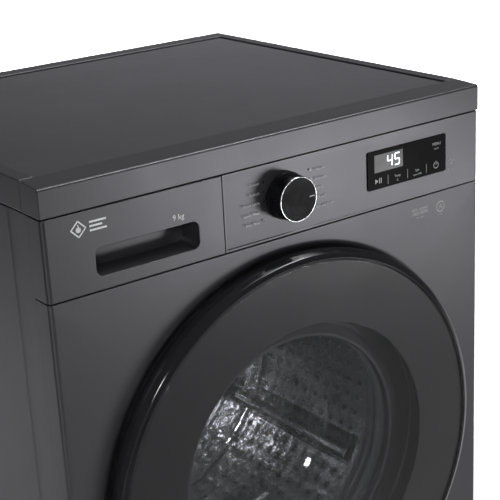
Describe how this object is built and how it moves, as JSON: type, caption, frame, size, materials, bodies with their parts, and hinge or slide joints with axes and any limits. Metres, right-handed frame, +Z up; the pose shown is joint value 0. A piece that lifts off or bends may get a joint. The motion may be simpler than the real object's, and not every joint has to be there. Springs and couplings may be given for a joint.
{
  "type": "front-loading washing machine",
  "caption": "Free-standing front-loading washer: cabinet, glazed round door, detergent drawer, programme knob, sprung tub with direct-drive drum, drain pump and levelling feet.",
  "frame": {"origin": "on the floor, under the middle of the machine's box", "axes": "+Z up; -Y out of the door; +X to the right of someone facing the door"},
  "size_m": [0.6, 0.565, 0.85],
  "materials": {
    "painted_steel": "satin dark grey metallic paint with a slight violet cast",
    "fascia": "dark grey metallic-effect plastic, satin",
    "top_board": "fine-grained dark laminate, matt",
    "gloss_black": "piano black, polished",
    "tinted_glass": "smoked toughened glass, polished",
    "clear_glass": "clear borosilicate bowl, polished",
    "stainless": "bright stainless steel",
    "chrome": "turned and plated metal",
    "galvanised": "galvanised sheet, dull",
    "zinc_casting": "as-cast, fine grain",
    "white_plastic": "light grey moulded plastic",
    "tub_plastic": "fibre-filled moulded plastic",
    "dark_plastic": "dark moulded plastic, fine texture",
    "grey_rubber": "soft grey rubber, matt",
    "concrete": "cast concrete, rough",
    "copper_coils": "lacquered winding wire on a lamination stack",
    "circuit": "circuit board with components"
  },
  "bodies": {
    "cabinet": {"side_panel_left": "painted_steel", "side_panel_right": "painted_steel", "rear_frame": "galvanised", "back_cover": "galvanised", "base_pan": "dark_plastic", "upper_frame": "galvanised", "front_panel": "painted_steel", "lower_cover": "painted_steel", "lid_front_trim": "fascia", "top_rim": "fascia", "top_board": "top_board", "control_panel": "fascia", "display_window": "gloss_black", "control_board": "circuit", "dispenser_housing": "white_plastic", "inlet_valve": "white_plastic", "cable_gland": "dark_plastic", "drain_outlet": "tub_plastic", "drain_pump": "white_plastic", "hinge_bracket": "zinc_casting", "hinge_pin": "stainless", "door_lock": "dark_plastic", "door_gasket": "grey_rubber", "suspension_spring_left": "galvanised", "suspension_spring_right": "galvanised", "damper_cylinder_left": "white_plastic", "damper_cylinder_right": "white_plastic", "sump_bellows": "grey_rubber"},
    "door": {"door_ring": "gloss_black", "door_cover_glass": "tinted_glass", "door_inner_frame": "dark_plastic", "door_bowl": "clear_glass", "door_hinge_arm": "zinc_casting"},
    "latch": {"door_hook": "stainless"},
    "drawer": {"detergent_drawer": "white_plastic", "drawer_front": "fascia"},
    "knob": {"program_knob": "chrome"},
    "flap": {"filter_flap": "painted_steel"},
    "filter": {"pump_filter_cap": "dark_plastic"},
    "tub": {"tub_front": "tub_plastic", "tub_rear": "tub_plastic", "counterweight_top": "concrete", "counterweight_front": "concrete", "heater": "stainless", "bearing_front": "stainless", "bearing_rear": "stainless", "stator": "copper_coils", "damper_rod_left": "stainless", "damper_rod_right": "stainless"},
    "drum_unit": {"drum": "stainless", "lifter_1": "white_plastic", "lifter_2": "white_plastic", "lifter_3": "white_plastic", "drum_spider": "zinc_casting", "drive_shaft": "stainless", "rotor": "galvanised"},
    "levelling_front_left": {"foot_front_left": "dark_plastic"},
    "levelling_front_right": {"foot_front_right": "dark_plastic"},
    "levelling_rear_left": {"foot_rear_left": "dark_plastic"},
    "levelling_rear_right": {"foot_rear_right": "dark_plastic"}
  },
  "joints": [
    {"name": "door_swing", "type": "hinge", "parent": "cabinet", "child": "door", "pos_m": [-0.252, -0.2685, 0.45], "axis": [0, 0, -1], "range_deg": [0, 130]},
    {"name": "latch_pivot", "type": "hinge", "parent": "door", "child": "latch", "pos_m": [0.211, -0.2425, 0.45], "axis": [1, 0, 0], "range_deg": [0, 8], "stiffness_Nm_per_rad": 0.4, "springref_deg": -5.73},
    {"name": "drawer_slide", "type": "slide", "parent": "cabinet", "child": "drawer", "axis": [0, -1, 0], "range_m": [0, 0.215]},
    {"name": "knob_turn", "type": "hinge", "parent": "cabinet", "child": "knob", "pos_m": [0, -0.2645, 0.7755], "axis": [0, -1, 0], "continuous": true},
    {"name": "flap_swing", "type": "hinge", "parent": "cabinet", "child": "flap", "pos_m": [0.1055, -0.25325, 0.071], "axis": [0, 0, -1], "range_deg": [0, 110]},
    {"name": "filter_twist", "type": "hinge", "parent": "cabinet", "child": "filter", "pos_m": [0.16, -0.2345, 0.071], "axis": [0, -1, 0], "range_deg": [0, 90]},
    {"name": "tub_bounce", "type": "slide", "parent": "cabinet", "child": "tub", "axis": [0, 0, 1], "range_m": [-0.012, 0.012], "stiffness_N_per_m": 12000, "springref_m": 0.02, "deforming": ["suspension_spring_left", "suspension_spring_right", "sump_bellows", "door_gasket"]},
    {"name": "drum_spin", "type": "hinge", "parent": "tub", "child": "drum_unit", "pos_m": [0, 0, 0.45], "axis": [0, -1, 0], "continuous": true},
    {"name": "foot_turn_front_left", "type": "hinge", "parent": "cabinet", "child": "levelling_front_left", "pos_m": [-0.242, -0.1845, 0.012], "axis": [0, 0, 1], "continuous": true},
    {"name": "foot_turn_front_right", "type": "hinge", "parent": "cabinet", "child": "levelling_front_right", "pos_m": [0.242, -0.1845, 0.012], "axis": [0, 0, 1], "continuous": true},
    {"name": "foot_turn_rear_left", "type": "hinge", "parent": "cabinet", "child": "levelling_rear_left", "pos_m": [-0.242, 0.2125, 0.012], "axis": [0, 0, 1], "continuous": true},
    {"name": "foot_turn_rear_right", "type": "hinge", "parent": "cabinet", "child": "levelling_rear_right", "pos_m": [0.242, 0.2125, 0.012], "axis": [0, 0, 1], "continuous": true}
  ]
}
